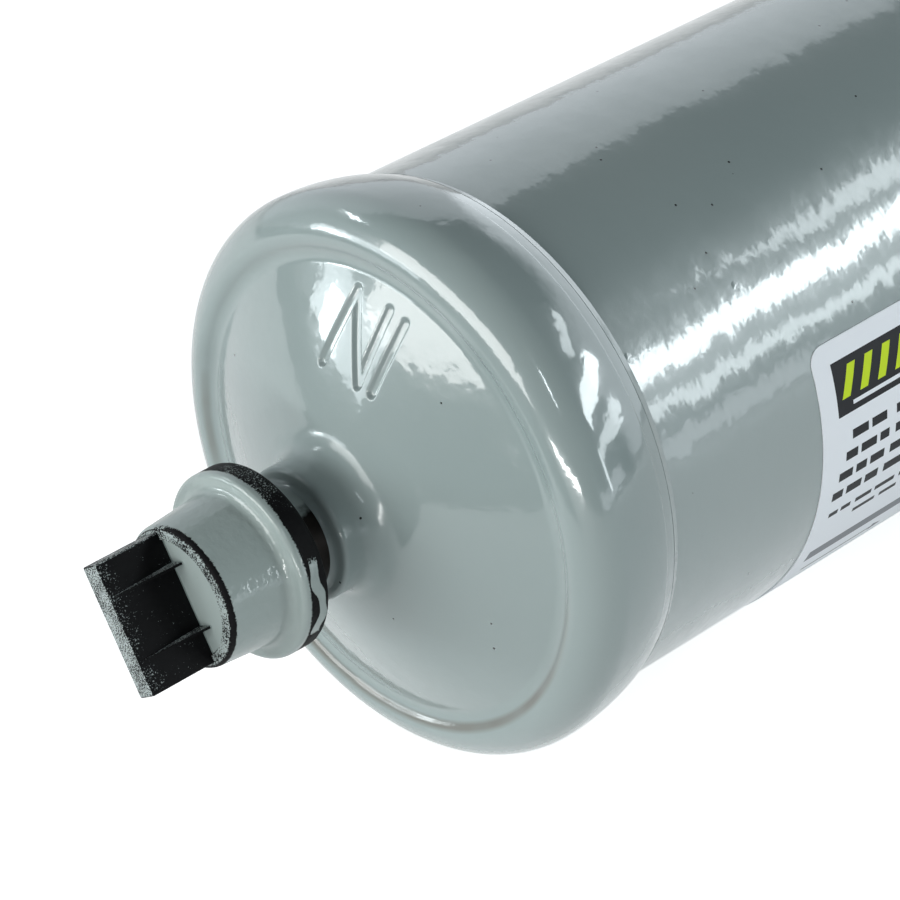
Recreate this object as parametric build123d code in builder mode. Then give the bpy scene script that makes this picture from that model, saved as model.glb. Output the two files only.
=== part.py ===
from build123d import *
import os
from math import acos, atan, cos, degrees, radians, sin, sqrt, tan

# Liquid-line filter drier: 3 in. steel body, 1/2 in. solder sockets, moulded
# core.  Millimetres.  X is the axis and the direction of flow (inlet at -X),
# +Z is up, the origin is on the axis half way between the two seams.
# Sizes named _s are measured along the axis outwards from a seam.

# ---- shell -------------------------------------------------------------
shell_od = 76.2            # 3 in. tube
shell_wall = 1.6
seam_span = 90.0           # from one seam to the other
shell_lap = 11.0           # how far the tube runs on inside each end cap

# ---- pressed end caps --------------------------------------------------
cap_sheet = 2.1            # steel sheet
lap_gap = 0.05             # radial gap between tube and cap skirt
lip_step = 0.6             # the thinned edge of the skirt stands this far proud
rim_bulge = 2.25           # the rim stands this far out over the tube
rim_s = 9.9                # widest place of the rim
rim_round = 5.9            # corner from skirt to face
rim_turn = 72.0            # degrees that corner turns
crest_round = 2.4          # rolls over the crest of the rim
crest_turn = 53.0
groove_round = 1.6         # groove between the rim and the domed face
groove_turn = 63.0
dome_s = 23.2              # where the dome runs into the root of the collar
dome_d = 24.9
collar_od = 18.9           # drawn collar round the fitting
collar_s = 30.0            # its free end
collar_edge = 0.7

# ---- seam and braze ----------------------------------------------------
weld_width = 1.1           # seam weld bead on the tube
weld_crown = 0.15
weld_gap = 0.02            # radial, bead on tube
braze_leg = 0.8            # fillet of braze round the fitting
braze_hollow = 0.96        # radius of the fillet's face
braze_gap = 0.05           # radial, collar on fitting

# ---- solder fittings ---------------------------------------------------
stub_od = 14.6             # copper socket
stub_s = 47.5              # its open end
stub_root_s = 20.0         # its inner end
socket_bore = 12.8         # takes 1/2 in. tube, 12.7 mm
socket_depth = 12.7
stop_bore = 11.0           # bore behind the tube stop
socket_lead = 0.3          # chamfer at the mouth

# ---- rubber shipping caps ----------------------------------------------
cap_gap = 0.05             # radial, rubber on fitting
cap_floor_gap = 0.3        # from the fitting's end to the cap's floor
cap_mouth_s = 36.0         # open end of the cap
brim_thick = 4.3
brim_flange = 2.5          # the brim beyond the foot of the crown, radial
brim_edge = 0.8
crown_wall = 3.2           # rubber round the fitting, at the brim
crown_taper = 4.0          # degrees
crown_len = 9.7            # from the brim to the end
crown_fillet = 1.3
crown_edge = 1.0
dish_depth = 0.5
dish_lip = 1.62            # left round the dish
tab_width = 18.0
tab_thick = 3.2
tab_len = 11.0             # beyond the crown
tab_root = 0.2             # moulded this far into the floor of the dish
tab_angle = 56.0           # direction of its width about the axis, from +Y to +Z
rib_pitch = 8.8
rib_thick = 1.5
rib_rise = 3.2
rib_stop = 0.3             # the ribs run out this far before the tip

# ---- inside ------------------------------------------------------------
plate_sheet = 1.2
plate_gap = 0.3            # radial, plates in the tube
plate_hole = 5.0
plate_hole_pitch = 9.6
plate_hole_rows = 5
plate_notch = 6.0          # flow notches round the spring plate
plate_notches = 12
screen_thick = 0.6
pad_thick = 3.0
gasket_len = 5.0
core_gap = 3.5             # annulus that the liquid fills, core to tube
core_len = 80.0
core_cavity_d = 18.0
core_cavity_len = 58.0
core_cavity_taper = 1.5    # degrees
core_edge = 2.0
inlet_pad_thick = 1.5
spring_wire = 2.4
spring_plate_coil = 44.0   # centre of the wire, large coil on the plate
spring_dome_coil = 32.0    # the same, small coil under the inlet dome
spring_turns = 3.5
seat_gap = 0.1             # left where springy pieces only rest

# ---- label -------------------------------------------------------------
label_thick = 0.15
label_len = 31.2           # along the axis
label_from = 153.7         # degrees about the axis, from +Y to +Z
label_arc = 88.0
label_corner = 2.5

# ---- taken from the sizes above ----------------------------------------
shell_r = shell_od / 2
rim_r = shell_r + rim_bulge
tube_r = shell_r - shell_wall
seam_x = seam_span / 2
collar_r = collar_od / 2
stub_r = stub_od / 2
crown_r = stub_r + crown_wall
brim_r = crown_r + brim_flange
core_r = tube_r - core_gap


def at(s):
    """X of a place s outwards from the inlet seam."""
    return -seam_x - s


# ---- body --------------------------------------------------------------
with BuildPart() as shell:
    with BuildSketch(Plane.YZ):
        Circle(shell_r)
        Circle(tube_r, mode=Mode.SUBTRACT)
    extrude(amount=seam_x + shell_lap, both=True)

# Inlet end cap: the skirt bulges into a rounded rim, rolls over a crest into a
# groove, rises as a dome and ends in a drawn collar round the fitting
with BuildPart() as inlet_end_cap:
    with BuildSketch(Plane.XZ) as cap_profile:
        with BuildLine() as cap_line:
            widest = (at(rim_s), rim_r)
            skirt = TangentArc(widest, (at(0), shell_r + lip_step), tangent=(1, 0))
            corner = JernArc(widest, (-1, 0), rim_round, rim_turn)
            crest = JernArc(corner @ 1, corner % 1, crest_round, crest_turn)
            groove = JernArc(crest @ 1, crest % 1, groove_round, -groove_turn)
            dome = TangentArc(groove @ 1, (at(dome_s), dome_d / 2),
                              tangent=groove % 1)
            root_heading = (dome % 1).X
            root_round = (dome_d / 2 - collar_r) / (1 + root_heading)
            root = JernArc(dome @ 1, dome % 1, root_round,
                           -degrees(acos(-root_heading)))
            Line(root @ 1, (at(collar_s), collar_r))
            offset(amount=cap_sheet, side=Side.RIGHT)
        make_face()
        with Locations((at(shell_lap + lap_gap), 0)):
            Rectangle(shell_lap + lap_gap + cap_sheet, shell_r + lap_gap,
                      align=(Align.MIN, Align.MIN), mode=Mode.SUBTRACT)
        with Locations((at(collar_s), 0)):
            Rectangle(collar_s - stub_root_s, stub_r + braze_gap,
                      align=(Align.MIN, Align.MIN), mode=Mode.SUBTRACT)
        fillet(cap_profile.vertices().group_by(Axis.X)[0].sort_by(Axis.Y)[-1],
               collar_edge)
    revolve(axis=Axis.X)

with BuildPart() as outlet_end_cap:
    add(mirror(inlet_end_cap.part, about=Plane.YZ, mode=Mode.PRIVATE))

# Bead that closes the seam between the thinned lip of the skirt and the tube
with BuildPart() as inlet_seam_weld:
    with BuildSketch(Plane.XZ):
        with BuildLine():
            weld_r = shell_r + weld_gap
            toe = (at(0) + weld_width, weld_r)
            lip = (at(0), shell_r + lip_step)
            Polyline(lip, (at(0), weld_r), toe)
            TangentArc(lip, toe, tangent=(1, -weld_crown))
        make_face()
    revolve(axis=Axis.X)

with BuildPart() as outlet_seam_weld:
    add(mirror(inlet_seam_weld.part, about=Plane.YZ, mode=Mode.PRIVATE))

# Copper solder socket with its tube stop
with BuildPart() as inlet_fitting:
    with BuildSketch(Plane.XZ) as socket_profile:
        with BuildLine():
            Polyline((at(stub_s), stub_r), (at(stub_root_s), stub_r),
                     (at(stub_root_s), stop_bore / 2),
                     (at(stub_s - socket_depth), stop_bore / 2),
                     (at(stub_s - socket_depth), socket_bore / 2),
                     (at(stub_s), socket_bore / 2), close=True)
        make_face()
        chamfer(socket_profile.vertices().group_by(Axis.X)[0].sort_by(Axis.Y)[0],
                socket_lead)
    revolve(axis=Axis.X)

with BuildPart() as outlet_fitting:
    add(mirror(inlet_fitting.part, about=Plane.YZ, mode=Mode.PRIVATE))

with BuildPart() as inlet_braze_ring:
    with BuildSketch(Plane.XZ):
        with BuildLine():
            high = (at(collar_s), stub_r + braze_leg)
            long = (at(collar_s + braze_leg), stub_r)
            Polyline(high, (at(collar_s), stub_r), long)
            RadiusArc(high, long, braze_hollow)
        make_face()
    revolve(axis=Axis.X)

with BuildPart() as outlet_braze_ring:
    add(mirror(inlet_braze_ring.part, about=Plane.YZ, mode=Mode.PRIVATE))

# Rubber shipping cap: a brimmed thimble over the fitting, dished at its end,
# with a pull tab between two pairs of ribs
brim_s = cap_mouth_s + brim_thick
crown_s = brim_s + crown_len
floor_s = stub_s + cap_floor_gap
crown_end_r = crown_r - crown_len * tan(radians(crown_taper))
dish_r = crown_end_r - dish_lip
cap_bore_r = stub_r + cap_gap
with BuildPart() as inlet_shipping_cap:
    with BuildSketch(Plane.XZ) as thimble:
        with BuildLine():
            Polyline((at(cap_mouth_s), cap_bore_r), (at(cap_mouth_s), brim_r),
                     (at(brim_s), brim_r), (at(brim_s), crown_r),
                     (at(crown_s), crown_end_r), (at(crown_s), dish_r),
                     (at(crown_s - dish_depth), dish_r),
                     (at(crown_s - dish_depth), 0), (at(floor_s), 0),
                     (at(floor_s), cap_bore_r), close=True)
        make_face()
        fillet(thimble.vertices().group_by(Axis.Y)[-3], crown_edge)
        fillet(thimble.vertices().group_by(Axis.Y)[-2], crown_fillet)
        fillet(thimble.vertices().group_by(Axis.Y)[-1], brim_edge)
    revolve(axis=Axis.X)
    tab_base_s = crown_s - dish_depth - tab_root
    tab_tip_s = crown_s + tab_len
    across = Vector(0, cos(radians(tab_angle)), sin(radians(tab_angle)))
    with BuildSketch(Plane(origin=(at(tab_base_s), 0, 0), x_dir=across,
                           z_dir=(-1, 0, 0))):
        Rectangle(tab_width, tab_thick)
    extrude(amount=tab_tip_s - tab_base_s)
    with BuildSketch(Plane(origin=(at(tab_base_s), 0, 0), x_dir=(-1, 0, 0),
                           z_dir=across).offset(rib_pitch / 2),
                     Plane(origin=(at(tab_base_s), 0, 0), x_dir=(-1, 0, 0),
                           z_dir=across).offset(-rib_pitch / 2)):
        with BuildLine():
            rib_reach = tab_tip_s - tab_base_s - rib_stop
            rib_half = tab_thick / 2 + rib_rise
            Polyline((0, rib_half), (rib_reach, tab_thick / 2),
                     (rib_reach, -tab_thick / 2), (0, -rib_half), close=True)
        make_face()
    extrude(amount=rib_thick / 2, both=True)

with BuildPart() as outlet_shipping_cap:
    add(mirror(inlet_shipping_cap.part, about=Plane.YZ, mode=Mode.PRIVATE))

# ---- inside ------------------------------------------------------------
# The groove of each cap stands inside it as a ridge; the stack lies on the
# outlet ridge and the spring pushes it there from the inlet dome.
ridge_x = -groove.arc_center.X - groove_round - cap_sheet
plate_x = ridge_x - seat_gap
plate_r = tube_r - plate_gap

with BuildPart() as outlet_plate:
    with BuildSketch(Plane.YZ.offset(plate_x - plate_sheet)):
        Circle(plate_r)
        with HexLocations(plate_hole_pitch / 2, plate_hole_rows, plate_hole_rows):
            Circle(plate_hole / 2, mode=Mode.SUBTRACT)
    extrude(amount=plate_sheet)

screen_x = plate_x - plate_sheet
with BuildPart() as outlet_screen:
    with BuildSketch(Plane.YZ.offset(screen_x - screen_thick)):
        Circle(plate_r)
    extrude(amount=screen_thick)

pad_x = screen_x - screen_thick
with BuildPart() as outlet_pad:
    with BuildSketch(Plane.YZ.offset(pad_x - pad_thick)):
        Circle(plate_r)
    extrude(amount=pad_thick)

# Ring that stops liquid from going round the core
core_x = pad_x - pad_thick
with BuildPart() as core_gasket:
    with BuildSketch(Plane.YZ.offset(core_x - gasket_len)):
        Circle(plate_r)
        Circle(core_r, mode=Mode.SUBTRACT)
    extrude(amount=gasket_len)

with BuildPart() as desiccant_core:
    with BuildSketch(Plane.YZ.offset(core_x - core_len)):
        Circle(core_r)
    extrude(amount=core_len)
    chamfer(desiccant_core.edges().filter_by(GeomType.CIRCLE)
            .sort_by(Axis.X)[0], core_edge)
    with BuildSketch(Plane.YZ.offset(core_x)):
        Circle(core_cavity_d / 2)
    extrude(amount=-core_cavity_len, taper=core_cavity_taper,
            mode=Mode.SUBTRACT)

core_end_x = core_x - core_len
with BuildPart() as inlet_pad:
    with BuildSketch(Plane.YZ.offset(core_end_x - inlet_pad_thick)):
        Circle(core_r - core_edge)
    extrude(amount=inlet_pad_thick)

spring_plate_x = core_end_x - inlet_pad_thick
with BuildPart() as spring_plate:
    with BuildSketch(Plane.YZ.offset(spring_plate_x - plate_sheet)):
        Circle(plate_r)
        with PolarLocations(plate_r, plate_notches):
            Circle(plate_notch / 2, mode=Mode.SUBTRACT)
    extrude(amount=plate_sheet)

# Conical spring: its large coil lies on the plate, its small coil under the dome
wire_r = spring_wire / 2
coil_from = spring_plate_x - plate_sheet - wire_r - seat_gap
dome_reach = dome.radius - cap_sheet - wire_r - seat_gap
dome_coil_r = spring_dome_coil / 2
coil_to = dome.arc_center.X - sqrt(dome_reach**2
                                   - (dome_coil_r - dome.arc_center.Y)**2)
coil_len = coil_from - coil_to
coil_draw_in = (spring_plate_coil - spring_dome_coil) / 2
with BuildPart() as core_spring:
    with BuildLine() as coil:
        Helix(pitch=coil_len / spring_turns, height=coil_len,
              radius=spring_plate_coil / 2, center=(coil_from, 0, 0),
              direction=(-1, 0, 0),
              cone_angle=-degrees(atan(coil_draw_in / coil_len)))
    with BuildSketch(Plane(origin=coil.line @ 0, z_dir=coil.line % 0)):
        RegularPolygon(wire_r, 8)  # stands for the round wire
    sweep(is_frenet=True)

# ---- label -------------------------------------------------------------
outward = Vector(0, cos(radians(label_from)), sin(radians(label_from)))
with BuildPart() as label:
    with BuildSketch(Plane(origin=(0, 0, 0), x_dir=(1, 0, 0),
                           z_dir=Vector(1, 0, 0).cross(outward))):
        with Locations((0, shell_r)):
            Rectangle(label_len, label_thick, align=(Align.CENTER, Align.MIN))
    revolve(axis=Axis.X, revolution_arc=label_arc)
    fillet(label.edges().filter_by(GeomType.LINE).filter_by(
        lambda e: e.length < label_thick * 2), label_corner)

# ---- one file for each piece -------------------------------------------
os.makedirs("parts", exist_ok=True)

shell.part.label = "shell"
export_step(shell.part, "parts/shell.step")
inlet_end_cap.part.label = "inlet_end_cap"
export_step(inlet_end_cap.part, "parts/inlet_end_cap.step")
outlet_end_cap.part.label = "outlet_end_cap"
export_step(outlet_end_cap.part, "parts/outlet_end_cap.step")
inlet_seam_weld.part.label = "inlet_seam_weld"
export_step(inlet_seam_weld.part, "parts/inlet_seam_weld.step")
outlet_seam_weld.part.label = "outlet_seam_weld"
export_step(outlet_seam_weld.part, "parts/outlet_seam_weld.step")
inlet_fitting.part.label = "inlet_fitting"
export_step(inlet_fitting.part, "parts/inlet_fitting.step")
outlet_fitting.part.label = "outlet_fitting"
export_step(outlet_fitting.part, "parts/outlet_fitting.step")
inlet_braze_ring.part.label = "inlet_braze_ring"
export_step(inlet_braze_ring.part, "parts/inlet_braze_ring.step")
outlet_braze_ring.part.label = "outlet_braze_ring"
export_step(outlet_braze_ring.part, "parts/outlet_braze_ring.step")
inlet_shipping_cap.part.label = "inlet_shipping_cap"
export_step(inlet_shipping_cap.part, "parts/inlet_shipping_cap.step")
outlet_shipping_cap.part.label = "outlet_shipping_cap"
export_step(outlet_shipping_cap.part, "parts/outlet_shipping_cap.step")
outlet_plate.part.label = "outlet_plate"
export_step(outlet_plate.part, "parts/outlet_plate.step")
outlet_screen.part.label = "outlet_screen"
export_step(outlet_screen.part, "parts/outlet_screen.step")
outlet_pad.part.label = "outlet_pad"
export_step(outlet_pad.part, "parts/outlet_pad.step")
core_gasket.part.label = "core_gasket"
export_step(core_gasket.part, "parts/core_gasket.step")
desiccant_core.part.label = "desiccant_core"
export_step(desiccant_core.part, "parts/desiccant_core.step")
inlet_pad.part.label = "inlet_pad"
export_step(inlet_pad.part, "parts/inlet_pad.step")
spring_plate.part.label = "spring_plate"
export_step(spring_plate.part, "parts/spring_plate.step")
core_spring.part.label = "core_spring"
export_step(core_spring.part, "parts/core_spring.step")
label.part.label = "label"
export_step(label.part, "parts/label.step")
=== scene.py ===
import bmesh
import bpy
from math import asin, atan2, cos, pi, radians, sin
from mathutils import Matrix, Vector


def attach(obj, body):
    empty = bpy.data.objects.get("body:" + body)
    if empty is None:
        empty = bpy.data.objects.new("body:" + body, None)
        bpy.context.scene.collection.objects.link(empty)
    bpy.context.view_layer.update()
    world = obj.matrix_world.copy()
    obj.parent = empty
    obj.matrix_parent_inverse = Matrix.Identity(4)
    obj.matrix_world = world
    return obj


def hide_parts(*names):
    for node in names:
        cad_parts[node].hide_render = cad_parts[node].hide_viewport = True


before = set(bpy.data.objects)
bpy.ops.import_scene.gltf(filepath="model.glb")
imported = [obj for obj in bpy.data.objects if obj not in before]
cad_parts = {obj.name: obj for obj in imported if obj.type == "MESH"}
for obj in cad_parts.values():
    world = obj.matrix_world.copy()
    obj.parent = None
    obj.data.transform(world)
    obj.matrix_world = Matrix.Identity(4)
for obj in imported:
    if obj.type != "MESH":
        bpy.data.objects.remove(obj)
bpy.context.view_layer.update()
scene = bpy.context.scene
scene.view_settings.view_transform = "Standard"

# ---- camera -------------------------------------------------------------
# A long lens on a tripod, a little above the canister, which looks down past the
# inlet end along the body.
view_heading = 0.793
view_drop = 0.5852
line_of_sight = Vector((cos(view_drop) * cos(view_heading),
                        cos(view_drop) * sin(view_heading),
                        -sin(view_drop)))
camera = bpy.data.objects.new("camera", bpy.data.cameras.new("camera"))
camera.data.sensor_width = 36
camera.data.lens = 146.217
camera.data.clip_start = 0.01
camera.location = (-0.332197, -0.289402, 0.269428)
camera.rotation_euler = line_of_sight.to_track_quat("-Z", "Y").to_euler()
scene.collection.objects.link(camera)
scene.camera = camera

# ---- studio -------------------------------------------------------------
# White sweep under the canister, walls lit to the height of the lamps and a dark
# ceiling. Strip lamps stand on the camera's side, a soft lamp faces the inlet.
floor_level = -0.0405
floor_reach = 6.0
floor_white = (0.80, 0.80, 0.80, 1)
floor_glow = 0.72
floor_in_gloss = 0.50
plain_white = (1, 1, 1, 1)
lamp_white = (0.88, 0.97, 1.0)
lamp_warm = (0.98, 0.99, 0.98)


def node(tree, kind, **settings):
    """A new shader node; settings are its properties, or its sockets by name."""
    made = tree.nodes.new(kind)
    for key, value in settings.items():
        if hasattr(made, key):
            setattr(made, key, value)
        else:
            made.inputs[key.replace("_", " ")].default_value = value
    return made


def feed(tree, socket, value):
    """Gives a socket its value: the output of another node, or a constant."""
    if isinstance(value, bpy.types.NodeSocket):
        tree.links.new(value, socket)
    else:
        socket.default_value = value


def maths(tree, kind, *values):
    """One Math node; each value is an output or a number."""
    made = node(tree, "ShaderNodeMath", operation=kind)
    for socket, value in zip(made.inputs, values):
        feed(tree, socket, value)
    return made.outputs[0]


def product(tree, first, *others):
    """The values multiplied together."""
    for other in others:
        first = maths(tree, "MULTIPLY", first, other)
    return first


def ramp(tree, value, start, stop, low=0.0, high=1.0):
    """Value carried from start..stop to low..high, held at both ends."""
    made = node(tree, "ShaderNodeMapRange", From_Min=start, From_Max=stop)
    for name, given in (("Value", value), ("To Min", low), ("To Max", high)):
        feed(tree, made.inputs[name], given)
    return made.outputs[0]


def mix(tree, factor, first, second, kind="RGBA"):
    """From first to second by factor; each is an output or a constant."""
    made = node(tree, "ShaderNodeMix", data_type=kind)
    for name, given in (("Factor", factor), ("A", first), ("B", second)):
        feed(tree, made.inputs[name], given)
    return made.outputs["Result"]


def scaled(tree, vector, factor):
    """A vector or colour made stronger or weaker."""
    made = node(tree, "ShaderNodeVectorMath", operation="SCALE")
    feed(tree, made.inputs[0], vector)
    feed(tree, made.inputs["Scale"], factor)
    return made.outputs["Vector"]


def surface(name):
    """A new material with its tree, its shader and a Texture Coordinate node."""
    made = bpy.data.materials.new(name)
    made.use_nodes = True
    tree = made.node_tree
    return made, tree, tree.nodes["Principled BSDF"], node(tree, "ShaderNodeTexCoord")


def dress(tree, shader, **looks):
    """Sets sockets of the shader by name; each look is an output or a constant."""
    for name, look in looks.items():
        feed(tree, shader.inputs[name.replace("_", " ")], look)


def new_object(name, bm, finish):
    """Makes a mesh, in metres, an object with its material."""
    mesh = bpy.data.meshes.new(name)
    bm.to_mesh(mesh)
    bm.free()
    made = bpy.data.objects.new(name, mesh)
    scene.collection.objects.link(made)
    mesh.materials.append(finish)
    return made


bm = bmesh.new()
bmesh.ops.create_grid(bm, x_segments=1, y_segments=1, size=floor_reach)
bmesh.ops.translate(bm, vec=(0, 0, floor_level), verts=bm.verts)
paper, tree, shader, _ = surface("white_paper")
rays = node(tree, "ShaderNodeLightPath")
glow = maths(tree, "MULTIPLY_ADD", rays.outputs["Is Glossy Ray"], floor_in_gloss,
             rays.outputs["Is Camera Ray"])
glow = maths(tree, "MAXIMUM", glow, rays.outputs["Is Transmission Ray"])
dress(tree, shader, Base_Color=floor_white, Roughness=0.9, Specular_IOR_Level=0.0,
      Emission_Color=plain_white, Emission_Strength=product(tree, glow, floor_glow))
floor = new_object("floor", bm, paper)

# The room: a left and a right wall under the ceiling, and for gloss a bright wall
# ahead of the canister and a bright band along the horizon. Each fades between two
# directions, the sharp edge of the right wall along a line that leans by wall_turn.
ceiling = 0.060
wall_left, wall_right = 0.14, 0.44
gloss_right, gloss_ahead, gloss_horizon = 0.50, 1.9, 2.4
wall_tint = (0.93, 1.0, 1.05)
wall_turn = 0.33
east_fades, side_fades = (-0.25, -0.05), (-0.15, 0.20)
edge_fades, edge_top, foot_top = (0.699, 0.709), (0.78, 0.70), (0.42, 0.32)
left_top = (0.45, 0.80)
ahead_along, ahead_across, ahead_top = (0.73, 0.80), (-0.66, -0.52), (0.60, 0.45)
horizon_top, horizon_across = (0.105, 0.090), (-0.70, -0.73)


def parts(tree, vector):
    """The X, Y and Z of a vector."""
    made = node(tree, "ShaderNodeSeparateXYZ")
    feed(tree, made.inputs[0], vector)
    return made.outputs


world = bpy.data.worlds.new("room")
world.use_nodes = True
scene.world = world
tree = world.node_tree
direction = node(tree, "ShaderNodeTexCoord")
along, across, up = parts(tree, direction.outputs["Generated"])
rays = node(tree, "ShaderNodeLightPath")
in_gloss = rays.outputs["Is Glossy Ray"]
east = ramp(tree, along, *east_fades)
side = ramp(tree, across, *side_fades)
turned = maths(tree, "MULTIPLY_ADD", along, wall_turn, across)
edge = product(tree, ramp(tree, turned, *edge_fades), ramp(tree, up, *edge_top))
foot = product(tree, side, ramp(tree, up, *foot_top))
right_level = maths(tree, "MULTIPLY_ADD", product(tree, in_gloss, east),
                    gloss_right, wall_right)
right_tone = product(tree, maths(tree, "MAXIMUM", edge, foot), right_level)
right_tone = maths(tree, "MAXIMUM", right_tone, ceiling)
left_tone = ramp(tree, up, *left_top, wall_left, ceiling)
level = mix(tree, side, left_tone, right_tone, "FLOAT")
ahead = product(tree, ramp(tree, along, *ahead_along),
                ramp(tree, across, *ahead_across), ramp(tree, up, *ahead_top), in_gloss)
horizon = product(tree, ramp(tree, up, *horizon_top),
                  ramp(tree, across, *horizon_across), in_gloss, east)
level = maths(tree, "MAXIMUM", level, product(tree, ahead, gloss_ahead))
level = maths(tree, "MAXIMUM", level, product(tree, horizon, gloss_horizon))
feed(tree, tree.nodes["Background"].inputs["Color"],
     mix(tree, rays.outputs["Is Camera Ray"], scaled(tree, wall_tint, level), plain_white))


lamp_focus = Vector((-0.02, 0, 0))


def lamp(name, aim, distance, size, power, colour=lamp_white):
    """A soft rectangular lamp that stands off along aim and faces the focus."""
    light = bpy.data.lights.new(name, "AREA")
    light.shape = "RECTANGLE"
    light.size, light.size_y = size
    light.energy = power
    light.color = colour
    made = bpy.data.objects.new(name, light)
    away = Vector(aim).normalized()
    made.location = lamp_focus + away * distance
    made.rotation_euler = (-away).to_track_quat("-Z", "Y").to_euler()
    scene.collection.objects.link(made)


lamp("lamp_front", (-0.94, 0.25, 0.34), 1.5, (1.3, 0.6), 17, lamp_warm)
lamp("lamp_fill", (-0.88, -0.47, 0.02), 1.5, (0.75, 0.12), 7.5, lamp_warm)
lamp("strip_low", (0.66, -0.695, 0.255), 1.4, (0.8, 0.12), 2.0)
lamp("strip_high", (0.66, -0.590, 0.455), 1.4, (0.8, 0.17), 5.6)
lamp("strip_top", (0.72, -0.306, 0.610), 1.4, (0.44, 0.11), 1.0)
lamp("window", (-0.68, 0.74, 0.05), 1.4, (0.17, 0.14), 1.0)
lamp("window_haze", (-0.74, 0.667, 0.08), 1.4, (0.66, 0.24), 2.6)
lamp("lamp_glint", (0.385, -0.902, 0.195), 1.4, (0.14, 0.34), 1.3)
lamp("lamp_back", (-0.33, 0.77, 0.54), 1.4, (0.30, 0.05), 1.5)
lamp("lamp_crest", (-0.42, -0.62, 0.66), 1.4, (0.05, 0.35), 1.2)

# A low dark board off the inlet end, turned up at its far edge, which only the
# gloss of the paint shows.
board_near, board_far, board_width = -0.22, -1.66, 1.62
board_middle, board_lift, board_rise = 0.69, 0.002, 0.30
board_black = (0.02, 0.02, 0.02, 1)
bm = bmesh.new()
bmesh.ops.create_grid(bm, x_segments=1, y_segments=1, size=0.5)
bmesh.ops.scale(bm, vec=(board_near - board_far, board_width, 1), verts=bm.verts)
bmesh.ops.translate(bm, vec=((board_near + board_far) / 2, board_middle,
                             floor_level + board_lift), verts=bm.verts)
far_side = [v for v in bm.verts if v.co.x < (board_near + board_far) / 2]
bmesh.ops.extrude_edge_only(bm, edges=[e for e in bm.edges
                                       if all(v in far_side for v in e.verts)])
bm.verts.ensure_lookup_table()
bmesh.ops.translate(bm, vec=(0, 0, board_rise), verts=bm.verts[-2:])
dark, tree, shader, _ = surface("dark_board")
dress(tree, shader, Base_Color=board_black, Specular_IOR_Level=0.0)
board = new_object("dark_board", bm, dark)
board.visible_camera = False
board.visible_diffuse = False
board.visible_shadow = False
board.visible_transmission = False

# ---- shell --------------------------------------------------------------
# Steel tube, cut square; its ends run on inside the two pressed caps. It is sprayed
# together with them, after brazing, in a thick grey-green enamel that dries glossy,
# with orange peel, dust specks and faint blotches.
MM = 0.001
shell_r = 38.1
shell_wall = 1.6
shell_half = 56.0
around = 360
crease = 0.7
enamel_grey = (0.226, 0.278, 0.277, 1)
enamel_pale = (0.252, 0.300, 0.296, 1)
speck_dark = (0.020, 0.022, 0.022, 1)
peel_size, peel_depth = 420.0, 0.00003
dust_spacing, dust_size, dust_left_out = 230.0, 0.042, 0.30


def noise(tree, vector, **settings):
    """Noise at a place."""
    made = node(tree, "ShaderNodeTexNoise", **settings)
    feed(tree, made.inputs["Vector"], vector)
    return made.outputs["Fac"]


def stretched_noise(tree, vector, stretch, **settings):
    """Noise at a place, with its own scale along each axis."""
    fit = node(tree, "ShaderNodeMapping")
    feed(tree, fit.inputs["Scale"], stretch)
    feed(tree, fit.inputs["Vector"], vector)
    return noise(tree, fit.outputs[0], **settings)


def relief(tree, height, depth, under=None):
    """A normal bumped by height, depth metres high, on top of the one under it."""
    made = node(tree, "ShaderNodeBump", Strength=1.0, Distance=depth)
    feed(tree, made.inputs["Height"], height)
    if under is not None:
        feed(tree, made.inputs["Normal"], under)
    return made.outputs[0]


def vectors(tree, kind, *values):
    """One Vector Math node; each value is an output or a vector."""
    made = node(tree, "ShaderNodeVectorMath", operation=kind)
    for socket, value in zip(made.inputs, values):
        feed(tree, socket, value)
    return made.outputs["Value" if kind in ("LENGTH", "DISTANCE") else "Vector"]


def sprayed_paint_group():
    """Sprayed paint: Height of its peel, Specks, a mask of dust grains, and Blotch."""
    group = bpy.data.node_groups.new("sprayed_paint", "ShaderNodeTree")
    face = group.interface
    face.new_socket("Vector", in_out="INPUT", socket_type="NodeSocketVector")
    face.new_socket("Peel Size", in_out="INPUT", socket_type="NodeSocketFloat")
    for name in ("Height", "Specks", "Blotch"):
        face.new_socket(name, in_out="OUTPUT", socket_type="NodeSocketFloat")
    ends = node(group, "NodeGroupInput")
    out = node(group, "NodeGroupOutput")
    here = ends.outputs["Vector"]
    peel = node(group, "ShaderNodeTexNoise", Detail=2.0, Roughness=0.5)
    feed(group, peel.inputs["Vector"], here)
    feed(group, peel.inputs["Scale"], ends.outputs["Peel Size"])
    dust = node(group, "ShaderNodeTexVoronoi", Scale=dust_spacing)
    feed(group, dust.inputs["Vector"], here)
    lot = node(group, "ShaderNodeSeparateColor")
    feed(group, lot.inputs[0], dust.outputs["Color"])
    specks = product(group, maths(group, "LESS_THAN", dust.outputs["Distance"], dust_size),
                     maths(group, "GREATER_THAN", lot.outputs[0], dust_left_out))
    feed(group, out.inputs["Height"], peel.outputs["Fac"])
    feed(group, out.inputs["Specks"], specks)
    feed(group, out.inputs["Blotch"], noise(group, here, Scale=38.0, Detail=3.0))
    return group


sprayed_paint = sprayed_paint_group()
blob_top, blob_round = 0.8, 0.4


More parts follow.
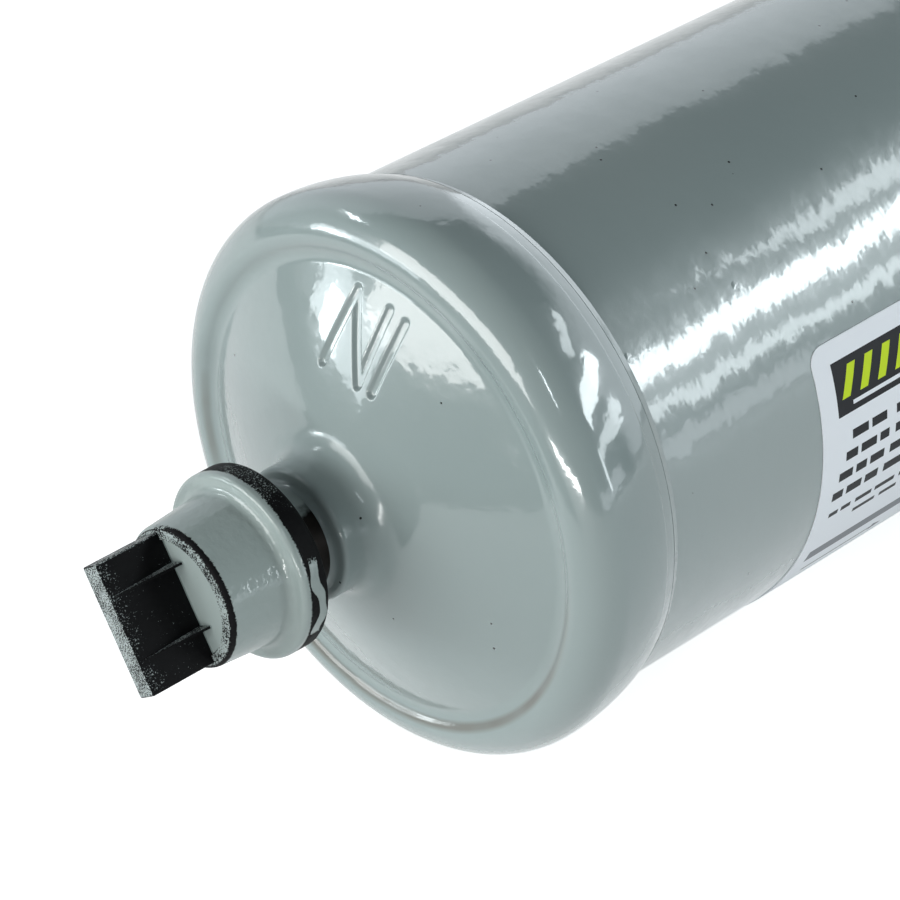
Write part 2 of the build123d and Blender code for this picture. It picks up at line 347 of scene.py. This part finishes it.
def enamel(name, waves, haze, gleam, sway=(), faults=(), retint=None):
    """The enamel; waves are (x, y, z scale, depth) of the sheet's unevenness, and
    sway (x, y, z scale, slope) leans it round the axis only, as a drawn tube does.
    Faults are (spot, reach, height) of blobs. Retint, where given, changes colour and coat."""
    made, tree, shader, place = surface(name)
    here = place.outputs["Object"]
    paint = node(tree, "ShaderNodeGroup", node_tree=sprayed_paint, Peel_Size=peel_size)
    feed(tree, paint.inputs["Vector"], here)
    shade = mix(tree, paint.outputs["Blotch"], enamel_grey, enamel_pale)
    colour = mix(tree, paint.outputs["Specks"], shade, speck_dark)
    normal = relief(tree, paint.outputs["Height"], peel_depth)
    for *stretch, depth in waves:
        uneven = stretched_noise(tree, here, stretch, Scale=1.0, Detail=3.0)
        normal = relief(tree, uneven, depth, normal)
    for *stretch, slope in sway:
        uneven = stretched_noise(tree, here, stretch, Scale=1.0, Detail=3.0)
        share = maths(tree, "MULTIPLY_ADD", uneven, slope, -slope / 2)
        round_axis = vectors(tree, "CROSS_PRODUCT", (1, 0, 0), normal)
        lean = scaled(tree, round_axis, share)
        normal = vectors(tree, "NORMALIZE", vectors(tree, "ADD", normal, lean))
    for spot, reach, height in faults:
        rise = ramp(tree, vectors(tree, "DISTANCE", here, spot), reach, 0.0)
        blob = maths(tree, "SMOOTH_MIN", rise, blob_top, blob_round)
        normal = relief(tree, blob, height, normal)
    coat = 1.0
    if retint:
        colour, coat = retint(tree, here, paint.outputs["Blotch"], colour)
    dress(tree, shader, Base_Color=colour, Roughness=haze, Specular_IOR_Level=gleam,
          Coat_Weight=coat, Coat_Roughness=haze / 3, Normal=normal, Coat_Normal=normal)
    return made


tube_waves = ((260.0, 260.0, 260.0, 0.00002),)
tube_sway = ((70.0, 40.0, 40.0, 0.10), (400.0, 170.0, 170.0, 0.09),
             (1700.0, 600.0, 600.0, 0.07))
tube_faults = (((-0.0222, -0.0270, 0.0269), 0.0006, 0.0001),
               ((-0.0435, -0.0281, 0.0257), 0.0007, 0.00012))
shell_enamel = enamel("enamel_on_tube", tube_waves, 0.25, 0.8, tube_sway, tube_faults)


def revolve(bm, steps=around):
    """Turns the outline in the XZ plane about the X axis and closes it."""
    bmesh.ops.spin(bm, geom=bm.verts[:] + bm.edges[:], cent=(0, 0, 0),
                   axis=(1, 0, 0), angle=2 * pi, steps=steps, use_merge=True)
    bmesh.ops.remove_doubles(bm, verts=bm.verts, dist=1e-4)
    bmesh.ops.recalc_face_normals(bm, faces=bm.faces)


def line(bm, end, *places):
    """Carries an outline on in straight lines through places, each (x, r)."""
    for x, r in places:
        step = bm.verts.new((x, 0, r))
        bm.edges.new((end, step))
        end = step
    return end


def finish_piece(bm, name, finish, body, replaced, mirror=False):
    """Makes the millimetre mesh an object in metres that takes a CAD node's place."""
    scale = (-MM if mirror else MM, MM, MM)
    bmesh.ops.scale(bm, vec=scale, verts=bm.verts)
    if mirror:
        bmesh.ops.reverse_faces(bm, faces=bm.faces)
    for face in bm.faces:
        face.smooth = True
    for edge in bm.edges:
        edge.smooth = edge.calc_face_angle(0) < crease
    made = new_object(name, bm, finish)
    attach(made, body)
    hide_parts(replaced)


bm = bmesh.new()
start = bm.verts.new((-shell_half, 0, shell_r))
end = line(bm, start, (shell_half, shell_r), (shell_half, shell_r - shell_wall),
           (-shell_half, shell_r - shell_wall))
bm.edges.new((end, start))
revolve(bm)
finish_piece(bm, "tube", shell_enamel, "canister", "shell")

# ---- end caps -----------------------------------------------------------
# Pressed steel, 2.1 mm: the skirt laps the tube and bulges into a rounded rim,
# rolls over a crest into a groove, rises as a dome and ends in a drawn collar.
# The inlet cap is stamped IN beside its collar. Each is pressed on over the tube.
seam_x = 45.0
lip_r = 38.7
lip_round = 0.25
step_s, step_round, step_turn = 2.3, 0.45, 0.5
rim_s, rim_r = 9.9, 40.35
rim_round, rim_turn = 5.9, radians(72)
crest_round, crest_turn = 2.4, radians(53)
groove_round, groove_turn = 2.2, radians(63)
dome_s, dome_r = 23.2, 12.45
collar_s, collar_r, collar_edge = 30.0, 9.45, 0.7
collar_bore = 7.4
cap_sheet = 2.1
inner_knee_s, inner_knee_r = 13.0, 32.5
lap_gap = 0.05
lap_end_s, lap_r = 11.1, shell_r + lap_gap


def bend(bm, end, heading, radius, turn, steps=16):
    """Carries an outline on from its end vertex round an arc; left turns are positive."""
    side = 1 if turn > 0 else -1
    centre = end.co + Vector((-sin(heading), 0, cos(heading))) * side * radius
    arc = bmesh.ops.spin(bm, geom=[end], cent=centre, axis=(0, -1, 0),
                         angle=turn, steps=steps)
    return arc["geom_last"][0], heading + turn


def cap_outline(bm):
    """The inlet cap's section, closed, from the lip of the skirt round to it again."""
    widest = bm.verts.new((-seam_x - rim_s, 0, rim_r))
    skirt_round = (rim_s ** 2 + (rim_r - lip_r) ** 2) / (2 * (rim_r - lip_r))
    skirt_turn = asin((rim_s - step_s) / skirt_round)
    lip, heading = bend(bm, widest, 0, skirt_round, -skirt_turn, 10)
    lip, heading = bend(bm, lip, heading, step_round, -step_turn, 4)
    lip, heading = bend(bm, lip, heading, step_round, step_turn, 4)
    heading = atan2(lip_r - lip.co.z, -seam_x - lip_round - lip.co.x)
    lip = line(bm, lip, (-seam_x - lip_round, lip_r))
    lip, heading = bend(bm, lip, heading, lip_round, -pi / 2 - heading, 4)
    end, heading = bend(bm, widest, pi, rim_round, rim_turn, 18)
    end, heading = bend(bm, end, heading, crest_round, crest_turn, 12)
    end, heading = bend(bm, end, heading, groove_round, -groove_turn, 12)
    chord = Vector((-seam_x - dome_s, 0, dome_r)) - end.co
    lean = (atan2(chord.z, chord.x) - heading + pi) % (2 * pi) - pi
    end, heading = bend(bm, end, heading, chord.length / (2 * sin(lean)), 2 * lean, 44)
    root_turn = heading - pi
    root_round = (dome_r - collar_r) / (1 - cos(root_turn))
    end, heading = bend(bm, end, heading, root_round, -root_turn, 14)
    end = line(bm, end, (-seam_x - collar_s + collar_edge, collar_r))
    end, heading = bend(bm, end, pi, collar_edge, pi / 2, 5)
    end = line(bm, end, (-seam_x - collar_s, collar_bore),
               (-seam_x - dome_s + cap_sheet, collar_bore),
               (-seam_x - inner_knee_s, inner_knee_r), (-seam_x - lap_end_s, lap_r),
               (lip.co.x, lap_r))
    bm.edges.new((end, lip))


stroke_width = 1.15
stroke_depth = 0.6
stroke_roll = 0.30
stroke_reach = 1.9
letter_strokes = (((2.7, 29.9), (5.0, 20.1)), ((2.7, 29.9), (-1.9, 19.7)),
                  ((-1.9, 19.7), (-3.3, 29.4)), ((-6.2, 28.7), (-4.4, 19.5)))
letter_zone = ((-8.4, 7.2), (17.6, 32.0))
outer_face = -59.5


def stroke_distance(y, z):
    """How far a place on the face, seen along the axis, lies from the nearest stroke."""
    nearest = 99.0
    for (ya, za), (yb, zb) in letter_strokes:
        along = Vector((yb - ya, zb - za))
        here = Vector((y - ya, z - za))
        share = min(max(here.dot(along) / along.length_squared, 0), 1)
        nearest = min(nearest, (here - along * share).length)
    return nearest


def in_letter_zone(place):
    """Whether a place lies on the outer face where the letters are."""
    (y0, y1), (z0, z1) = letter_zone
    return y0 < place.y < y1 and z0 < place.z < z1 and place.x < outer_face


def stamp_letters(bm):
    """Sinks the strokes into the dome, with their edges rolled over."""
    for _ in range(2):
        zone = {}
        for face in bm.faces:
            middle = face.calc_center_median()
            if in_letter_zone(middle) and stroke_distance(middle.y, middle.z) < stroke_reach:
                zone.update(dict.fromkeys(face.edges))
        bmesh.ops.subdivide_edges(bm, edges=list(zone), cuts=1, use_grid_fill=True)
    bm.normal_update()
    moves = []
    for v in bm.verts:
        if in_letter_zone(v.co):
            edge = (stroke_width / 2 - stroke_distance(v.co.y, v.co.z)) / stroke_roll
            sink = min(max(0.5 + edge / 2, 0), 1)
            sink = sink * sink * (3 - 2 * sink)
            moves.append((v, v.normal * -stroke_depth * sink))
    for v, move in moves:
        v.co += move


cap_waves = ((85.0, 85.0, 85.0, 0.00014), (260.0, 260.0, 260.0, 0.00005))
groove_tint_ring = ((0.0335, 0.0341), (0.0353, 0.0346))
groove_tint_below = (0.004, -0.002)
groove_tint_patches = (0.34, 0.56)
groove_tint_dulls = 0.3
thin_paint = (0.0112, 0.0128, 0.08)
groove_tint_cover = 0.55
groove_tint_brown = (0.110, 0.080, 0.055, 1)


def off_axis(tree, y, z):
    """How far a place lies from the canister's axis."""
    flat = node(tree, "ShaderNodeCombineXYZ")
    feed(tree, flat.inputs["Y"], y)
    feed(tree, flat.inputs["Z"], z)
    return vectors(tree, "LENGTH", flat.outputs[0])


def tinted_groove_face(tree, here, blotch, colour):
    """A patchy brown tint low in the groove of the face; at the collar's root the paint is
    thin.
    """
    _, y, z = parts(tree, here)
    radius = off_axis(tree, y, z)
    (ring_from, ring_full), (ring_to, ring_fades) = groove_tint_ring
    groove_share = product(tree, ramp(tree, radius, ring_from, ring_full),
                   ramp(tree, radius, ring_to, ring_fades),
                   ramp(tree, z, *groove_tint_below), ramp(tree, blotch, *groove_tint_patches))
    coat = product(tree, ramp(tree, radius, *thin_paint),
                   ramp(tree, groove_share, 0.0, 1.0, 1.0, groove_tint_dulls))
    return mix(tree, product(tree, groove_share, groove_tint_cover), colour, groove_tint_brown), coat


# the cap enamel takes a patchy brown tint, low down in the groove of its face
cap_enamel = enamel("enamel_on_cap", cap_waves, 0.18, 0.3, retint=tinted_groove_face)
for end_name, mirror in (("inlet", False), ("outlet", True)):
    bm = bmesh.new()
    cap_outline(bm)
    revolve(bm)
    if not mirror:
        stamp_letters(bm)
    finish_piece(bm, end_name + "_pressed_cap", cap_enamel, "canister",
                 end_name + "_end_cap", mirror)

# ---- seam welds ---------------------------------------------------------
# A fine bead of steel, laid all the way round each cap's thinned lip to close it on
# the tube, and sprayed over with them.
bead_width = 1.1
bead_crown = 0.252
bead_overlap = 0.12
bead_inset, bead_root = 0.03, 0.1
for name, mirror in (("inlet_seam_weld", False), ("outlet_seam_weld", True)):
    bm = bmesh.new()
    toe = bm.verts.new((-seam_x + bead_width, 0, shell_r))
    crown = bm.verts.new((-seam_x + bead_width / 2, 0, shell_r + bead_crown))
    root = bm.verts.new((-seam_x - bead_overlap, 0, lip_r - bead_inset))
    foot = bm.verts.new((-seam_x - bead_overlap, 0, shell_r - bead_root))
    for a, b in ((toe, crown), (crown, root), (root, foot), (foot, toe)):
        bm.edges.new((a, b))
    revolve(bm)
    finish_piece(bm, name + "_bead", cap_enamel, "canister", name, mirror)

# ---- shipping caps ------------------------------------------------------
# Black rubber thimbles pushed over the copper sockets before the canister was
# sprayed: a brim, a tapered crown dished at its end, and a pull tab with ribs.
brim_s0, brim_s1, brim_r, brim_edge = 36.0, 40.3, 13.0, 0.8
crown_r0, crown_r1, crown_s = 10.5, 9.82, 50.0
crown_fillet, crown_edge, crown_bulge = 1.3, 1.0, 0.07
dish_r, dish_depth, dish_draft = 8.2, 0.5, 0.25
thimble_bore, thimble_end, thimble_around = 7.35, 47.8, 192
tab_width, tab_thick, tab_tip, tab_edge = 18.0, 3.2, 60.0, 0.25
tab_angle = radians(56)
tab_sunk = 0.2
tab_root = -seam_x - crown_s + dish_depth + tab_sunk
rib_pitch, rib_rise = 8.8, 2.2
rib_root, rib_end, rib_crest = 1.2, 0.4, 0.35
rib_short, rib_sunk = 0.3, 0.5
rubber_black = (0.003, 0.003, 0.0035, 1)
overspray_grey = (0.275, 0.325, 0.315, 1)
lit_tab_grey = (0.36, 0.41, 0.405, 1)
bore_round, bore_end = 0.0077, 0.0932
brim_back = (0.0842, 0.00025)
tab_from = 0.0947
tab_sprayed = ((0.80, 0.10, 0.53), (0.24, 0.02, 0.30))
tab_top_sprayed = (0.70, 0.10, 0.50)
tab_tip_sprayed = (0.1030, 0.0032, 0.41)
tab_dust = 0.13
brim_top_sprayed = (0.86, 0.10, 0.34)
brim_dust = 0.02
arc_inside, arc_outside = (0.00865, 0.0005), (0.01005, 0.0003)
arc_beyond, arc_side = (0.0940, 0.0002), (0.0035, 0.0035)
run_middle, run_swing = 0.0824, 0.0045
run_width, run_side, run_from = (0.00070, 0.00008), (0.0, 0.001), (0.0121, 0.0002)
run_top, run_bottom = (0.0058, 0.0006), (-0.0052, 0.0006)
grain_spread, cloud_spread = (1.5, -0.25), (0.5, -0.25)
drops_fade = (-0.06, 0.10)
lit_tab_from = (0.0953, 0.0010)


def over(tree, value, limit, soft=None):
    """A mask of where value is over limit, softened by soft where given."""
    if soft is None:
        return maths(tree, "GREATER_THAN", value, limit)
    return ramp(tree, value, limit - soft, limit + soft)


def under(tree, value, limit, soft=None):
    """A mask of where value is under limit, softened by soft where given."""
    if soft is None:
        return maths(tree, "LESS_THAN", value, limit)
    return ramp(tree, value, limit + soft, limit - soft)


def largest(tree, first, *others):
    """The largest of the values."""
    for other in others:
        first = maths(tree, "MAXIMUM", first, other)
    return first


def oversprayed_rubber():
    """Black rubber, with the canister's grey enamel where the spray reached it."""
    made, tree, shader, place = surface("oversprayed_rubber")
    here = place.outputs["Object"]
    x, y, z = parts(tree, here)
    facing_x, _, facing_z = parts(tree, place.outputs["Normal"])
    reach = maths(tree, "ABSOLUTE", x)
    endward = maths(tree, "ABSOLUTE", facing_x)
    radius = off_axis(tree, y, z)
    grain = noise(tree, here, Scale=5000.0, Detail=3.0)
    cloud = noise(tree, here, Scale=420.0, Detail=3.0)

    # the tab: painted on its end and on the slopes of its ribs, bare on its sides
    layers = [(endward, *sprayed) for sprayed in tab_sprayed]
    layers += [(facing_z, *tab_top_sprayed), (reach, *tab_tip_sprayed)]
    tab_cover = largest(tree, *[product(tree, over(tree, value, limit, soft), share)
                                for value, limit, soft, share in layers], tab_dust)

    # the crown and brim: covered, but for a thin arc round the crown's edge and
    # the back of the brim, which lay in its own shadow and took one run of paint
    arc = product(tree, over(tree, radius, *arc_inside), under(tree, radius, *arc_outside),
                  over(tree, reach, *arc_beyond), under(tree, y, *arc_side))
    limit, soft, share = brim_top_sprayed
    top = product(tree, over(tree, facing_z, limit, soft), share)
    winding = maths(tree, "MULTIPLY_ADD", noise(tree, here, Scale=160.0, Detail=1.0),
                    run_swing, run_middle - run_swing / 2)
    gap = maths(tree, "ABSOLUTE", maths(tree, "SUBTRACT", reach, winding))
    run = product(tree, under(tree, gap, *run_width), under(tree, z, *run_top),
                  over(tree, z, *run_bottom), under(tree, y, *run_side),
                  over(tree, radius, *run_from))
    cover = mix(tree, under(tree, reach, *brim_back),
                maths(tree, "SUBTRACT", 1.0, arc),
                largest(tree, top, brim_dust, run), "FLOAT")
    cover = mix(tree, over(tree, reach, tab_from), cover, tab_cover, "FLOAT")

    # no spray reached the bore
    cover = product(tree, cover, largest(tree, over(tree, radius, bore_round),
                                         over(tree, reach, bore_end)))

    # spray lands as fine drops: cover sets how many of the grains take paint
    drops = maths(tree, "ADD", maths(tree, "MULTIPLY_ADD", grain, *grain_spread),
                  maths(tree, "MULTIPLY_ADD", cloud, *cloud_spread))
    painted = ramp(tree, maths(tree, "SUBTRACT", cover, drops), *drops_fade)
    # painted light: past the crown, the tab takes a lighter copy of the overspray grey for
    # the stronger light it gets
    spray = mix(tree, over(tree, reach, *lit_tab_from), overspray_grey, lit_tab_grey)
    lumps = noise(tree, here, Scale=850.0, Detail=2.0)
    normal = relief(tree, maths(tree, "ADD", painted, cloud), 0.00003)
    normal = relief(tree, lumps, 0.00010, normal)
    dress(tree, shader, Base_Color=mix(tree, painted, rubber_black, spray),
          Roughness=ramp(tree, painted, 0.0, 1.0, 0.58, 0.34), Specular_IOR_Level=0.10,
          Coat_Weight=product(tree, painted, 0.8), Coat_Roughness=0.10,
          Normal=normal, Coat_Normal=normal)
    return made


rubber = oversprayed_rubber()


def thimble(bm):
    """The cap's round body."""
    start = bm.verts.new((-seam_x - brim_s0, 0, thimble_bore))
    end = line(bm, start, (-seam_x - brim_s0, brim_r - brim_edge))
    end, heading = bend(bm, end, pi / 2, brim_edge, pi / 2, 6)
    end = line(bm, end, (-seam_x - brim_s1 + brim_edge, brim_r))
    end, heading = bend(bm, end, pi, brim_edge, pi / 2, 6)
    end = line(bm, end, (-seam_x - brim_s1, crown_r0 + crown_fillet))
    lean = atan2(crown_r0 - crown_r1, crown_s - brim_s1)
    end, heading = bend(bm, end, -pi / 2, crown_fillet, -pi / 2 + lean, 8)
    end = line(bm, end, (-seam_x - crown_s + crown_edge, crown_r1 + crown_bulge))
    end, heading = bend(bm, end, pi + lean, crown_edge, pi / 2 - lean, 8)
    line(bm, end, (-seam_x - crown_s, dish_r),
         (-seam_x - crown_s + dish_depth, dish_r - dish_draft),
         (-seam_x - crown_s + dish_depth, 0))
    line(bm, start, (-seam_x - thimble_end, thimble_bore), (-seam_x - thimble_end, 0))
    revolve(bm, thimble_around)


def pull_tab(bm):
    """The flat tab, standing in the dish."""
    tip = -seam_x - tab_tip
    made = bmesh.ops.create_cube(bm, size=1.0)["verts"]
    bmesh.ops.scale(bm, vec=(tab_root - tip, tab_width, tab_thick), verts=made)
    bmesh.ops.translate(bm, vec=((tab_root + tip) / 2, 0, 0), verts=made)
    edges = list(dict.fromkeys(edge for v in made for edge in v.link_edges))
    bmesh.ops.bevel(bm, geom=edges, affect="EDGES", offset=tab_edge, segments=3,
                    profile=0.5, material=-1)


def ribs(bm):
    """Four wedges, two on each face of the tab."""
    tip = -seam_x - tab_tip + rib_short
    for y in (-rib_pitch / 2, rib_pitch / 2):
        for side in (-1, 1):
            places = ((tab_root, rib_sunk, rib_root),
                      (tab_root, tab_thick / 2 + rib_rise, rib_crest),
                      (tip, tab_thick / 2, rib_end * rib_crest), (tip, rib_sunk, rib_end))
            near = [bm.verts.new((x, y - wide / 2, side * z)) for x, z, wide in places]
            far = [bm.verts.new((x, y + wide / 2, side * z)) for x, z, wide in places]
            bm.faces.new(near)
            bm.faces.new(far)
            bmesh.ops.bridge_loops(bm, edges=[
                bm.edges.get((loop[i - 1], loop[i]))
                for loop in (near, far) for i in range(4)])


for name, body, mirror in (("inlet_shipping_cap", "inlet_cap", False),
                           ("outlet_shipping_cap", "outlet_cap", True)):
    bm = bmesh.new()
    pull_tab(bm)
    ribs(bm)
    bmesh.ops.rotate(bm, cent=(0, 0, 0), verts=bm.verts,
                     matrix=Matrix.Rotation(tab_angle, 3, "X"))
    bmesh.ops.recalc_face_normals(bm, faces=bm.faces)
    body_bm = bmesh.new()
    thimble(body_bm)
    spare = bpy.data.meshes.new("spare")
    body_bm.to_mesh(spare)
    bm.from_mesh(spare)
    body_bm.free()
    bpy.data.meshes.remove(spare)
    finish_piece(bm, name.replace("shipping", "rubber"), rubber, body, name,
                 mirror)

# ---- label --------------------------------------------------------------
# White film with rounded corners, stuck a quarter of the way round the tube. Its
# print is a dark field with slanting bars, rows of plain bars and a flow arrow.
label_length = 31.2
label_from = radians(153.7)
label_arc = radians(88)
label_lift = 0.15
label_corner = 2.5
label_cuts = 96
label_gap = 0.02
label_r = shell_r + label_gap
label_height = label_arc * (shell_r + label_lift)
film_white = (0.80, 0.82, 0.86, 1)
ink_black = (0.012, 0.013, 0.016, 1)
ink_green = (0.56, 0.72, 0.02, 1)
ink_pale = (0.16, 0.17, 0.19, 1)
print_field = (3.3, 27.9, 3.0, 10.8)
field_bars = ((8.2, 9.8), (11.8, 13.4), (15.4, 17.0), (19.0, 20.6), (22.6, 24.2))
bars_top, bars_bottom, bars_lean = 4.1, 8.5, 0.45
print_rows = (((5.9, 9.2), (9.9, 13.0), (15.0, 19.6), (21.2, 25.4), 13.5, 14.9),
              ((4.7, 7.1), (7.8, 11.0), (11.7, 13.6), (14.9, 20.2), (21.6, 26.6),
               16.5, 17.9),
              ((3.6, 6.4), (7.1, 9.3), (10.0, 12.9), (14.1, 21.0), (22.2, 27.5),
               19.5, 20.9),
              ((2.8, 5.0), (5.7, 8.8), (9.5, 12.2), (13.4, 20.9), (22.3, 28.4),
               22.5, 23.9),
              ((3.1, 5.0), (5.6, 7.6), (8.6, 12.0), (12.7, 16.8), (17.8, 26.2),
               26.2, 27.0),
              ((8.8, 13.4), (14.4, 18.0), (19.0, 22.0), 28.3, 29.0))
field_rule = (6.4, 25.6, 9.3, 9.9)
thin_row = (2.6, 23.6, 33.9, 36.3)
arrow_shaft = (4.4, 19.0, 39.5, 40.1)
arrow_tip = (21.4, 1.1)


def print_bar_group():
    """A printed bar's mask from the label's own millimetres, with leaning ends."""
    group = bpy.data.node_groups.new("print_bar", "ShaderNodeTree")
    face = group.interface
    for name in ("Along", "Down", "Left", "Right", "Top", "Bottom", "Lean"):
        face.new_socket(name, in_out="INPUT", socket_type="NodeSocketFloat")
    face.new_socket("Mask", in_out="OUTPUT", socket_type="NodeSocketFloat")
    ends = node(group, "NodeGroupInput").outputs
    out = node(group, "NodeGroupOutput")
    along = maths(group, "MULTIPLY_ADD", ends["Down"], ends["Lean"], ends["Along"])
    sides = [maths(group, "GREATER_THAN", first, second) for first, second in
             ((along, ends["Left"]), (ends["Right"], along),
              (ends["Down"], ends["Top"]), (ends["Bottom"], ends["Down"]))]
    feed(group, out.inputs["Mask"], product(group, *sides))
    return group


print_bar = print_bar_group()


def printed_film():
    """The label's film with its print; UV holds millimetres from its first corner."""
    made, tree, shader, place = surface("printed_film")
    along, down, _ = parts(tree, place.outputs["UV"])

    def bar(left, right, top, bottom, lean=0.0):
        mask = node(tree, "ShaderNodeGroup", node_tree=print_bar, Left=left,
                    Right=right, Top=top, Bottom=bottom, Lean=lean)
        feed(tree, mask.inputs["Along"], along)
        feed(tree, mask.inputs["Down"], down)
        return mask.outputs["Mask"]

    stripes = largest(tree, *[bar(left, right, bars_top, bars_bottom, bars_lean)
                              for left, right in field_bars])
    dark = largest(tree, bar(*print_field),
                   *[bar(left, right, top, bottom)
                     for *words, top, bottom in print_rows for left, right in words])
    shaft_end, tip_half = arrow_shaft[1], arrow_tip[1]
    spread = maths(tree, "ABSOLUTE", maths(tree, "SUBTRACT", down,
                                           (arrow_shaft[2] + arrow_shaft[3]) / 2))
    point = maths(tree, "MULTIPLY_ADD", spread, (arrow_tip[0] - shaft_end) / tip_half, along)
    head = product(tree, under(tree, point, arrow_tip[0]), over(tree, along, shaft_end))
    pale = largest(tree, bar(*thin_row), bar(*arrow_shaft), head)
    colour = film_white
    for mask, ink in ((dark, ink_black), (pale, ink_pale), (stripes, ink_green),
                      (bar(*field_rule), film_white)):
        colour = mix(tree, mask, colour, ink)
    wrinkle = noise(tree, place.outputs["Object"], Scale=90.0, Detail=2.0)
    dress(tree, shader, Base_Color=colour, Roughness=0.38, Specular_IOR_Level=0.15,
          Coat_Weight=0.10, Coat_Roughness=0.12, Normal=relief(tree, wrinkle, 0.00002))
    return made


bm = bmesh.new()
made = bmesh.ops.create_grid(bm, x_segments=1, y_segments=1, size=0.5)["verts"]
bmesh.ops.scale(bm, vec=(label_length, label_height, 1), verts=made)
bmesh.ops.translate(bm, vec=(label_length / 2, label_height / 2, 0), verts=made)
bmesh.ops.bevel(bm, geom=bm.verts[:], affect="VERTICES", offset=label_corner,
                segments=8, profile=0.5, material=-1)
for cut in range(1, label_cuts):
    bmesh.ops.bisect_plane(bm, geom=bm.verts[:] + bm.edges[:] + bm.faces[:],
                           plane_co=(0, label_height * cut / label_cuts, 0),
                           plane_no=(0, 1, 0))
uv = bm.loops.layers.uv.new("print")
for face in bm.faces:
    for loop in face.loops:
        loop[uv].uv = loop.vert.co.xy
bmesh.ops.solidify(bm, geom=bm.faces[:], thickness=label_lift)
low = min(v.co.z for v in bm.verts)
for v in bm.verts:
    turn = label_from + v.co.y / (shell_r + label_lift)
    out = label_r + v.co.z - low
    v.co = Vector((v.co.x - label_length / 2, out * cos(turn), out * sin(turn)))
bmesh.ops.recalc_face_normals(bm, faces=bm.faces)
finish_piece(bm, "wrapped_label", printed_film(), "canister", "label")

# ---- solder sockets -----------------------------------------------------
# Copper sockets, brazed into the collars with a ring of filler that is sprayed like
# the caps. Where they show between collar and shipping cap, the sockets are painted
# nearly black as painted shade, with grey paint only on top.
copper_shaded_black = (0.012, 0.010, 0.009, 1)
copper_bright = (0.55, 0.27, 0.16, 1)
cap_line = (0.0812, 0.0004)
top_painted = (1.12, 0.06)


def carried_over(finish, *names):
    """Gives CAD nodes that keep their own mesh a finish."""
    for name in names:
        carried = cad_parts[name].data
        carried.materials.clear()
        carried.materials.append(finish)


def sprayed_copper():
    """Copper: bright where the shipping cap sat, painted shade near black behind it, grey on
    top.
    """
    made, tree, shader, place = surface("sprayed_copper")
    here = place.outputs["Object"]
    reach = maths(tree, "ABSOLUTE", parts(tree, here)[0])
    upward = parts(tree, place.outputs["Normal"])[2]
    cloud = noise(tree, here, Scale=300.0, Detail=4.0)
    masked = over(tree, reach, *cap_line)
    top = over(tree, maths(tree, "MULTIPLY_ADD", cloud, 0.5, upward), *top_painted)
    painted = product(tree, top, maths(tree, "SUBTRACT", 1.0, masked))
    # painted shade: the copper showing between collar and shipping cap is made near black
    bare = mix(tree, masked, copper_shaded_black, copper_bright)
    dress(tree, shader, Base_Color=mix(tree, painted, bare, overspray_grey),
          Metallic=maths(tree, "SUBTRACT", 0.9, painted), Roughness=0.42,
          Normal=relief(tree, cloud, 0.00002))
    return made


carried_over(sprayed_copper(), "inlet_fitting", "outlet_fitting")
carried_over(cap_enamel, "inlet_braze_ring", "outlet_braze_ring")

# ---- inside -------------------------------------------------------------
# From the inlet: steel spring, zinc-plated spring plate, felt pad, moulded core of
# desiccant in its rubber ring, felt pad, wire screen and perforated plate. The
# spring's force holds the stack.


def grained(name, base, other, scale, rough, metallic=0.0, depth=0.00005,
            stretch=(1, 1, 1)):
    """A plain finish with a grain in its colour and height."""
    made, tree, shader, place = surface(name)
    grain = stretched_noise(tree, place.outputs["Object"], stretch, Scale=scale, Detail=5.0)
    dress(tree, shader, Base_Color=mix(tree, grain, base, other), Roughness=rough,
          Metallic=metallic, Normal=relief(tree, grain, depth))
    return made


carried_over(grained("desiccant", (0.62, 0.55, 0.42, 1), (0.40, 0.33, 0.24, 1),
                     900.0, 0.95, depth=0.0003), "desiccant_core")
carried_over(grained("felt", (0.66, 0.65, 0.60, 1), (0.48, 0.47, 0.43, 1),
                     1600.0, 1.0, depth=0.0002, stretch=(1, 1, 0.3)),
             "outlet_pad", "inlet_pad")
carried_over(grained("gasket_rubber", (0.02, 0.02, 0.02, 1), (0.05, 0.05, 0.05, 1),
                     700.0, 0.7), "core_gasket")
carried_over(grained("zinc_plate", (0.55, 0.56, 0.55, 1), (0.70, 0.71, 0.70, 1),
                     260.0, 0.38, 0.95, 0.00001), "outlet_plate", "spring_plate")
carried_over(grained("woven_wire", (0.45, 0.45, 0.45, 1), (0.72, 0.72, 0.72, 1),
                     2600.0, 0.35, 0.9, 0.0002), "outlet_screen")
carried_over(grained("spring_steel", (0.25, 0.26, 0.27, 1), (0.42, 0.43, 0.44, 1),
                     900.0, 0.30, 1.0, 0.00001, (0.2, 1, 1)), "core_spring")
